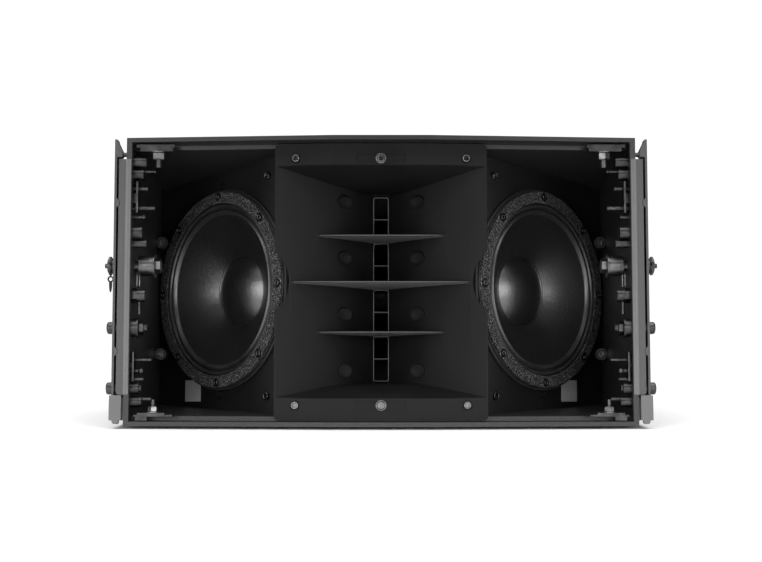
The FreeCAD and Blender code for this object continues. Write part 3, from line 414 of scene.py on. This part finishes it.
CONE_EDGE = 83.0 * MM
SURROUND_OUT = 96.1 * MM
SURROUND_BASE = -6.2 * MM
ROLL = 4.4 * MM
CONE_EDGE_Z = -6.4 * MM
CONE_NECK = 26.4 * MM
EDGE_SLOPE = math.tan(math.radians(24))     # the cone is shallow at its edge and steeper towards its neck
CAP_SLOPE = math.tan(math.radians(40))
CAP_EDGE = 38.0 * MM
CAP_BASE = -35.2 * MM
CAP_RISE = 13.0 * MM
SPIDER_IN = 25.9 * MM
SPIDER_OUT = 49.0 * MM
SPIDER_BASE = -52.0 * MM
SHEET = 0.6 * MM


def cone_height(r):
    """Height of the cone's front face."""
    inward = CONE_EDGE - r
    steepening = (CAP_SLOPE - EDGE_SLOPE) / (2 * (CONE_EDGE - CAP_EDGE))
    return CONE_EDGE_Z - EDGE_SLOPE * inward - steepening * inward ** 2


def span(low, high, count):
    return [low + (high - low) * i / (count - 1) for i in range(count)]


def roll_profile():
    """Two-ridge surround, with flat glued edges."""
    points = []
    for r in span(CONE_EDGE, SURROUND_OUT, 81):
        s = (r - CONE_EDGE) / (SURROUND_OUT - CONE_EDGE)
        swell = abs(math.sin(math.tau * s)) ** 0.9
        points.append((r, SURROUND_BASE + ROLL * swell))
    return points


def spider_profile():
    waves = 5
    wave = math.tau * waves / (SPIDER_OUT - SPIDER_IN)
    return [(r, SPIDER_BASE + 1.2 * MM * math.sin(wave * (r - SPIDER_IN)))
            for r in span(SPIDER_IN, SPIDER_OUT, 91)]


def cap_profile():
    """Dust cap with a bead of glue where it meets the cone."""
    ball = (CAP_EDGE ** 2 + CAP_RISE ** 2) / (2 * CAP_RISE)
    middle = CAP_BASE + CAP_RISE - ball
    points = [(r, middle + math.sqrt(ball ** 2 - r ** 2)) for r in span(0.0, CAP_EDGE, 40)]
    bead = 1.0 * MM
    for turn in span(0.0, 1.0, 7):
        r = CAP_EDGE + 2 * bead * turn
        points.append((r, max(cone_height(r), CAP_BASE) + bead * math.sin(math.pi * turn) * 0.8 + 0.05 * MM))
    return points


def blended(piece, side_name, inner, outer, matrix):
    """Lets the piece's inside edge follow the cone while its outside edge stays with the cabinet."""
    axis = matrix.to_3x3() @ Vector((0, 0, 1))
    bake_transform(piece, "cabinet", "cone_" + side_name, start=matrix.translation - axis,
             end=matrix.translation + axis)
    weights = piece.data.attributes["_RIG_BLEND"].data
    back = matrix.inverted()
    for vertex, weight in zip(piece.data.vertices, weights):
        local = back @ vertex.co
        share = (math.hypot(local.x, local.y) - inner) / (outer - inner)
        share = min(1.0, max(0.0, share))
        weight.value = 1 - share * share * (3 - 2 * share)


def woofer(side_name, side):
    matrix = woofer_matrix(side)
    made = bmesh.new()
    lathe(made, shell(roll_profile(), SHEET), matrix, 240, closed=True)
    surround = keep("surround_roll_" + side_name, made, "surround_cloth")
    blended(surround, side_name, CONE_EDGE + 1 * MM, SURROUND_OUT - 1 * MM, matrix)
    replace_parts(surround, "woofer_surround_" + side_name)

    made = bmesh.new()
    lathe(made, shell([(r, cone_height(r)) for r in span(CONE_EDGE, CONE_NECK, 48)], 0.9 * MM), matrix, 240,
          closed=True)
    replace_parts(keep("pressed_cone_" + side_name, made, "cone_paper", "cone_" + side_name),
                "woofer_cone_" + side_name)

    made = bmesh.new()
    lathe(made, shell(cap_profile(), SHEET), matrix, 200, closed=True)
    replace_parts(keep("domed_cap_" + side_name, made, "cone_paper", "cone_" + side_name),
                "dust_cap_" + side_name)

    made = bmesh.new()
    lathe(made, shell(spider_profile(), SHEET), matrix, 120, closed=True)
    spider = keep("corrugated_spider_" + side_name, made, "spider_cloth")
    blended(spider, side_name, SPIDER_IN + 1 * MM, SPIDER_OUT - 2 * MM, matrix)
    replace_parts(spider, "spider_" + side_name)


def separate_solids(name, matrix):
    """Extent of each separate solid of a CAD node, as (lowest, highest) corners in the matrix's frame."""
    piece = frame["nodes"][name]
    solids = bmesh.new()
    solids.from_mesh(piece.data)
    bmesh.ops.remove_doubles(solids, verts=solids.verts, dist=0.005 * MM)
    inside = matrix.inverted() @ piece.matrix_world
    waiting = set(solids.verts)
    found = []
    while waiting:
        reached = [waiting.pop()]
        for vertex in reached:
            for edge in vertex.link_edges:
                other = edge.other_vert(vertex)
                if other in waiting:
                    waiting.remove(other)
                    reached.append(other)
        points = [inside @ vertex.co for vertex in reached]
        found.append(tuple(Vector([pick(point[axis] for point in points) for axis in range(3)])
                           for pick in (min, max)))
    solids.free()
    return found


def screw_rim_highlights(side_name, side):
    """Bright rims on the heads of the screws in the baffle and in the woofer's frame: painted highlights,
    standing in for the light that the heads' edges catch.
    """
    matrix = woofer_matrix(side)
    made = bmesh.new()
    for name, share in (("baffle_screws", 0.78), ("woofer_frame_screws", 0.6)):
        for low, high in separate_solids(name, matrix):
            middle = (low + high) / 2
            if math.hypot(middle.x, middle.y) > 0.2:
                continue                        # belongs to the other side
            radius = share * (high.x - low.x) / 2
            ring = [matrix @ Vector((middle.x + radius * math.cos(turn), middle.y + radius * math.sin(turn),
                                     high.z - 0.1 * MM)) for turn in (math.tau * i / 32 for i in range(32))]
            tube(made, ring, 0.3 * MM, 8, closed=True)
    keep("screw_rim_highlights_" + side_name, made, "zinc_steel", "cabinet", sharp=60)


for side_name, side in SIDES.items():
    woofer(side_name, side)
    screw_rim_highlights(side_name, side)


# ---------------------------------------------------------------- horn detail

THROAT_Y = 92.0 * MM
THROAT_X = 8.1 * MM
THROAT_Z = 103.9 * MM
FIN_PITCH = 51.2 * MM
FIN_NOSES = ((1, 29.6 * MM, 64.0 * MM), (0, 12.1 * MM, 91.0 * MM), (-1, 29.6 * MM, 64.0 * MM))
BEAD = 0.42 * MM


def rounded_frame(half_x, low, high, corner):
    """Points of an upright rectangle with rounded corners, in the plane of the throat."""
    points = []
    for turn_x, turn_z, first in ((1, 1, 0), (-1, 1, 90), (-1, -1, 180), (1, -1, 270)):
        centre_x = turn_x * (half_x - corner)
        centre_z = (high if turn_z > 0 else low) - turn_z * corner
        for step in range(5):
            turn = math.radians(first + 22.5 * step)
            points.append(BOX @ Vector((centre_x + corner * math.cos(turn), THROAT_Y - BEAD,
                                        centre_z + corner * math.sin(turn))))
    return points


def horn_edge_highlights():
    """Lighter beads round the throat's slots, across their middles and along the fins' front edges: painted
    highlights, standing in for the light that these edges catch.
    """
    made = bmesh.new()
    for low, high in ((1, 2), (0, 1), (-1, 0), (-2, -1)):
        bottom = max(-THROAT_Z, low * FIN_PITCH + 1.3 * MM)
        top = min(THROAT_Z, high * FIN_PITCH - 1.3 * MM)
        tube(made, rounded_frame(THROAT_X, bottom, top, 2.4 * MM), BEAD, 8, closed=True)
        middle = (low + high) / 2 * FIN_PITCH
        tube(made, [BOX @ Vector((x * THROAT_X, THROAT_Y - BEAD, middle)) for x in (-1, -0.4, 0.4, 1)], BEAD, 8)
    keep("slot_highlight_beads", made, "grey_bracket", "cabinet", sharp=60)
    made = bmesh.new()
    for rank, nose_y, half_length in FIN_NOSES:
        path = [BOX @ Vector((x, nose_y, rank * FIN_PITCH)) for x in span(-half_length, half_length, 9)]
        taper = [0.5, 0.9, 1, 1, 1, 1, 1, 0.9, 0.5]
        tube(made, path, [0.75 * MM * size for size in taper], 10)
    keep("fin_nose_highlights", made, "rigging_paint", "cabinet", sharp=60)


def lit_fin_undersides():
    """Lighter skin on the undersides of the fins: painted light, standing in for the light that falls on the
    undersides and makes them look brighter than the walls of the horn.
    """
    horn = frame["nodes"]["horn_body"]
    inside = BOX.inverted() @ horn.matrix_world
    made = bmesh.new()
    for face in horn.data.polygons:
        corners = [inside @ horn.data.vertices[i].co for i in face.vertices]
        facing = (inside.to_3x3() @ face.normal).z
        fin_z = [abs(abs(corner.z) - FIN_PITCH) if abs(corner.z) > FIN_PITCH / 2 else abs(corner.z)
                 for corner in corners]
        if facing < -0.9 and max(fin_z) < 1.8 * MM and max(corner.y for corner in corners) < THROAT_Y + 2 * MM:
            made.faces.new([made.verts.new(BOX @ (corner - Vector((0, 0, 0.05 * MM)))) for corner in corners])
    bmesh.ops.remove_doubles(made, verts=made.verts, dist=0.01 * MM)
    bmesh.ops.solidify(made, geom=made.faces[:], thickness=0.12 * MM)
    keep("lit_fin_undersides", made, "grey_bracket", "cabinet")


def screw_highlight_rings():
    """Thin bright rings round the heads of the horn's screws and the rims of their recesses: painted
    highlights, standing in for the light that these edges catch.
    """
    made = bmesh.new()
    for z in (-128.0, 128.0):
        for x, sizes in ((-88.6, (3.3,)), (0.0, (3.3, 5.0)), (88.6, (3.3,))):
            for size in sizes:
                ring = [BOX @ (Vector((x + size * math.cos(turn), 0.7, z + size * math.sin(turn))) * MM)
                        for turn in (math.tau * i / 40 for i in range(40))]
                tube(made, ring, 0.5 * MM, 10, closed=True)
    keep("screw_highlight_rings", made, "zinc_steel", "cabinet", sharp=60)


horn_edge_highlights()
lit_fin_undersides()
screw_highlight_rings()


# ---------------------------------------------------------------- rigging detail

PIN_Y = 29.0 * MM
PIN_Z = 18.5 * MM
SPRING = (242.4 * MM, 253.1 * MM)     # ends of the plunger's spring, from the middle of the box
SPRING_RADIUS = 5.5 * MM
SPRING_WIRE = 0.45 * MM
SPRING_TURNS = 4
BOLT_Y = 12.0 * MM


def thread(made, origin, direction, radius, length, pitch=1.0 * MM):
    """Ridges of a screw thread round a stud."""
    rings = int(length / pitch)
    points = []
    for i in range(rings):
        points.append((radius * 0.93, i * pitch))
        points.append((radius * 1.1, (i + 0.5) * pitch))
    points.append((radius * 0.93, rings * pitch))
    lathe(made, points, along(origin, direction), 24)


def plunger_spring(side_name, side):
    made = bmesh.new()
    length = SPRING[1] - SPRING[0]
    steps = 24 * SPRING_TURNS
    path = []
    for i in range(steps + 1):
        turn = math.tau * SPRING_TURNS * i / steps
        x = SPRING[0] + SPRING_WIRE + (length - 2 * SPRING_WIRE) * i / steps
        path.append(BOX @ Vector((side * x, PIN_Y + SPRING_RADIUS * math.cos(turn),
                                  PIN_Z + SPRING_RADIUS * math.sin(turn))))
    tube(made, path, SPRING_WIRE, 8)
    coil = keep("coil_spring_" + side_name, made, "spring_steel", "cabinet")
    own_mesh(coil)
    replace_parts(coil, "plunger_spring_" + side_name)


# Threads on the studs inside the wall: height, inner end and radius, in millimetres
STUD_THREADS = ((125.5, 246.0, 1.9), (77.0, 235.6, 2.1), (39.6, 245.6, 1.9), (-14.2, 246.0, 2.6),
                (-81.0, 237.3, 1.4), (-101.0, 245.4, 1.8), (-110.5, 247.4, 3.9), (-48.0, 242.0, 3.9),
                (-121.6, 237.3, 2.0))


def stud_threads(side_name, side):
    made = bmesh.new()
    for z, inner_x, radius in STUD_THREADS:
        length = min(9.0, 257.0 - inner_x)
        thread(made, (side * inner_x * MM, BOLT_Y, z * MM), (side, 0, 0), radius * MM, length * MM,
               1.25 * MM if radius > 3 else 0.8 * MM)
    thread(made, (side * 250.9 * MM, BOLT_Y, -33.4 * MM), (0, 0, 1), 1.7 * MM, 12.0 * MM, 0.8 * MM)
    thread(made, (side * 231.8 * MM, 7.0 * MM, 118.8 * MM), (0, 0, 1), 3.1 * MM, 8.2 * MM, 1.25 * MM)
    thread(made, (side * 234.4 * MM, 7.0 * MM, -129.2 * MM), (0, 0, 1), 2.2 * MM, 6.4 * MM, 0.8 * MM)
    keep("stud_threads_" + side_name, made, "zinc_steel", "cabinet", sharp=60)


def bracket_nuts(side_name, side):
    """Plain nuts on the corner brackets' studs, with chamfered corners and a washer each."""
    made = bmesh.new()
    for x, z, facing, across, height in ((231.8, 135.4, -1, 11.0, 8.4), (234.4, -135.6, 1, 9.0, 6.6)):
        corner = across / math.sqrt(3)
        outline = ((0.0, 1.0), (corner * 0.86, 1.0), (corner, 1.7), (corner, height - 0.9),
                   (corner * 0.84, height), (0.0, height))
        spot = along((side * x * MM, 7.0 * MM, z * MM), (0, 0, facing))
        spot = spot @ Matrix.Rotation(math.radians(22), 4, "Z")
        lathe(made, [(r * MM, h * MM) for r, h in outline], spot, 6)
        washer = ((0.0, 0.1), (corner + 1.0, 0.1), (corner + 1.2, 0.4), (corner + 1.2, 0.8),
                  (corner + 0.9, 1.1), (0.0, 1.1))
        lathe(made, [(r * MM, h * MM) for r, h in washer], spot, 40)
    keep("bracket_nuts_" + side_name, made, "zinc_steel", "cabinet", sharp=25)


def guide_rods(side_name, side):
    """Two thin rods that run up behind the plunger."""
    made = bmesh.new()
    for x, y in ((252.4, 20.0), (254.6, 17.0)):
        path = [BOX @ Vector((side * x * MM, y * MM, z * MM)) for z in (-4.0, 0.0, 4.0, 8.2)]
        tube(made, path, [0.7 * MM, 0.9 * MM, 0.9 * MM, 0.7 * MM], 12)
    keep("guide_rods_" + side_name, made, "zinc_steel", "cabinet")


def lit_edge_strip(side_name, side):
    """Strip along the inner edge of the cabinet's front, with rounded long edges, lighter than the cabinet as
    painted light on the front edge.
    """
    made = bmesh.new()
    outline = ((258.5, -0.1), (258.5, -1.5), (259.1, -2.1), (263.6, -2.3), (264.2, -1.9), (264.2, -0.1))
    rows = [[made.verts.new(BOX @ Vector((side * x * MM, y * MM, z * MM))) for x, y in outline]
            for z in (-117.0, -40.0, 40.0, 126.6)]
    for row, above in zip(rows, rows[1:]):
        for j in range(len(outline)):
            k = (j + 1) % len(outline)
            made.faces.new((row[j], row[k], above[k], above[j]))
    made.faces.new(rows[0])
    made.faces.new(rows[-1])
    keep("lit_edge_strip_" + side_name, made, "grey_bracket", "cabinet", sharp=50)


def pin_strap():
    """Small ring under the left pull pin's head, with the tapered pull strap that hangs from it."""
    made = bmesh.new()
    centre = Vector((-284.4, 29.0, 4.6)) * MM
    ring = [BOX @ (centre + 2.6 * MM * Vector((math.cos(turn), 0, math.sin(turn))))
            for turn in (math.tau * i / 32 for i in range(32))]
    tube(made, ring, 0.85 * MM, 12, closed=True)
    neck = [BOX @ (centre + Vector((0, 0, z)) * MM) for z in (2.4, 4.2, 6.0)]
    tube(made, neck, 0.9 * MM, 10)
    widths = ((-2.6, 1.3), (-4.0, 1.75), (-8.0, 1.6), (-12.0, 1.15), (-13.6, 0.7))
    path = [BOX @ (centre + Vector((0, 0, z)) * MM) for z, _ in widths]
    tube(made, path, [width * MM for _, width in widths], 16)
    keep("pin_strap", made, "foot_rubber", "pin_left")


def outer_face(name):
    """Sides, top, bottom and rearmost face of a CAD node, in the box frame."""
    piece = frame["nodes"][name]
    inside = BOX.inverted() @ piece.matrix_world
    points = [inside @ vertex.co for vertex in piece.data.vertices]
    xs, ys, zs = ([point[axis] for point in points] for axis in range(3))
    return min(xs), max(xs), min(zs), max(zs), max(ys)


def pan_head(made, x, y, z, radius):
    """Domed screw head with a hexagonal socket, facing the rear."""
    spot = along((x, y, z), (0, 1, 0))
    outline = ((radius * 0.46, 0.0), (radius * 0.46, radius * 0.5), (radius * 0.56, radius * 0.62),
               (radius * 0.8, radius * 0.52), (radius, radius * 0.2), (radius, -0.2 * MM))
    lathe(made, outline, spot, 36)
    lathe(made, ((0.0, 0.02 * MM), (radius * 0.5, 0.02 * MM), (radius * 0.5, radius * 0.5)), spot, 6)


def barrel_sleeve(side_name, side):
    """Straight turned sleeve round the plunger's barrel, with chamfered ends and a shallow groove."""
    made = bmesh.new()
    outline = ((9.8, 0.0), (10.5, 0.0), (10.8, 0.4), (10.8, 12.4), (10.5, 12.8), (10.5, 13.6), (10.8, 14.0),
               (10.8, 15.4), (10.4, 15.9), (9.0, 16.0))
    end = along((side * 238.25 * MM, PIN_Y, PIN_Z), (side, 0, 0))
    lathe(made, [(r * MM, h * MM) for r, h in outline], end, 72)
    keep("barrel_sleeve_" + side_name, made, "plunger_steel", "cabinet", sharp=28)


def rear_fixings():
    """Screws of the input plate and its sockets, on the back panel's side."""
    made = bmesh.new()
    left, right, low, high, face = outer_face("input_plate")
    inset = 5.5 * MM
    for x in (left + inset, right - inset):
        for z in span(low + inset, high - inset, 3):
            pan_head(made, x, face, z, 2.6 * MM)
    keep("input_plate_screws", made, "black_screw", "cabinet", sharp=40)


def detail_rigging():
    for side_name, side in SIDES.items():
        plunger_spring(side_name, side)
        stud_threads(side_name, side)
        guide_rods(side_name, side)
        bracket_nuts(side_name, side)
        barrel_sleeve(side_name, side)
        lit_edge_strip(side_name, side)
    pin_strap()
    rear_fixings()


detail_rigging()

PAIRED = ("side_panel", "woofer_basket", "channel_cover", "rigging_plate", "front_link", "pull_pin")
soften([name + "_" + side_name for name in PAIRED for side_name in SIDES], 0.5 * MM)
soften(["top_panel", "bottom_panel"], 1.5 * MM)
soften(["horn_body", "lower_brackets", "rear_arm", "rear_lower_lug", "rear_pivot_bracket", "rear_handles",
        "input_plate", "input_sockets"], 0.6 * MM)
soften(["horn_screws", "baffle_screws", "woofer_frame_screws"], 0.22 * MM)
soften(["woofer_gasket_left", "woofer_gasket_right"], 0.5 * MM)
soften(["wall_bolts", "backing_plates", "corner_brackets", "rubber_feet"], 0.35 * MM)


# ---------------------------------------------------------------- studio

def area_light(name, place, aim, width, height, power):
    light = bpy.data.lights.new(name, "AREA")
    light.shape = "RECTANGLE"
    light.size = width
    light.size_y = height
    light.energy = power
    lamp = bpy.data.objects.new(name, light)
    lamp.location = place
    lamp.rotation_euler = (Vector(aim) - Vector(place)).to_track_quat("-Z", "Y").to_euler()
    bpy.context.scene.collection.objects.link(lamp)
    return lamp


FLOOR_RADIUS = 1.0
ROOM_LIGHT = 0.04
OVERHEAD_POWER = 165              # watts
SOFTBOX_POWER = 13
EDGE_POWER = 5
CARD_POWER = 1.1


def studio():
    mesh = bpy.data.meshes.new("studio_floor")
    made = bmesh.new()
    bmesh.ops.create_circle(made, cap_ends=True, segments=96, radius=FLOOR_RADIUS)
    made.to_mesh(mesh)
    made.free()
    floor = bpy.data.objects.new("studio_floor", mesh)
    bpy.context.scene.collection.objects.link(floor)
    paper = Finish("floor_paper")
    paper.colours(paper.noise(0.6, 3), (0.3, 0.9), (0.7, 0.93))
    paper.rough(paper.noise(0.2, 2), 0.75, 0.9)
    mesh.materials.append(paper.material)

    world = bpy.data.worlds.new("studio")
    world.use_nodes = True
    bpy.context.scene.world = world
    back = world.node_tree.nodes["Background"]
    back.inputs["Color"].default_value = (1, 1, 1, 1)
    back.inputs["Strength"].default_value = ROOM_LIGHT
    bright = world.node_tree.nodes.new("ShaderNodeBackground")
    bright.inputs["Color"].default_value = (1, 1, 1, 1)
    bright.inputs["Strength"].default_value = 1.05
    mix = world.node_tree.nodes.new("ShaderNodeMixShader")
    seen = world.node_tree.nodes.new("ShaderNodeLightPath")
    link = world.node_tree.links.new
    link(seen.outputs["Is Camera Ray"], mix.inputs["Fac"])
    link(back.outputs[0], mix.inputs[1])
    link(bright.outputs[0], mix.inputs[2])
    link(mix.outputs[0], world.node_tree.nodes["World Output"].inputs["Surface"])

    area_light("overhead", (0, -0.2, 2.6), (0, 0, 0), 4.0, 4.0, OVERHEAD_POWER)
    area_light("front_card", (0, -0.85, 0.03), (0, -0.12, 0.2), 0.5, 0.1, CARD_POWER)
    for name, side in SIDES.items():
        area_light("softbox_" + name, (side * 1.06, -1.87, 0.46), (side * 0.17, -0.1, 0.15),
                   0.85, 0.6, SOFTBOX_POWER)
        area_light("edge_" + name, (side * 1.9, -0.9, 0.6), (side * 0.25, -0.2, 0.15),
                   0.5, 1.4, EDGE_POWER)


CAMERA_DISTANCE = 1.35            # to the box's front corners
CAMERA_HEIGHT = 0.1214
CAMERA_LENS = 61.94               # mm, on a 36 mm wide sensor
CAMERA_SHIFT = 0.0383


def camera():
    data = bpy.data.cameras.new("camera")
    data.lens = CAMERA_LENS
    data.sensor_width = 36
    data.shift_y = CAMERA_SHIFT
    data.clip_start = 0.01
    made = bpy.data.objects.new("camera", data)
    made.location = (0, FRONT_Y - CAMERA_DISTANCE, CAMERA_HEIGHT)
    made.rotation_euler = (math.radians(90), 0, 0)
    bpy.context.scene.collection.objects.link(made)
    bpy.context.scene.camera = made


studio()
camera()
bpy.context.scene.view_settings.view_transform = "Standard"
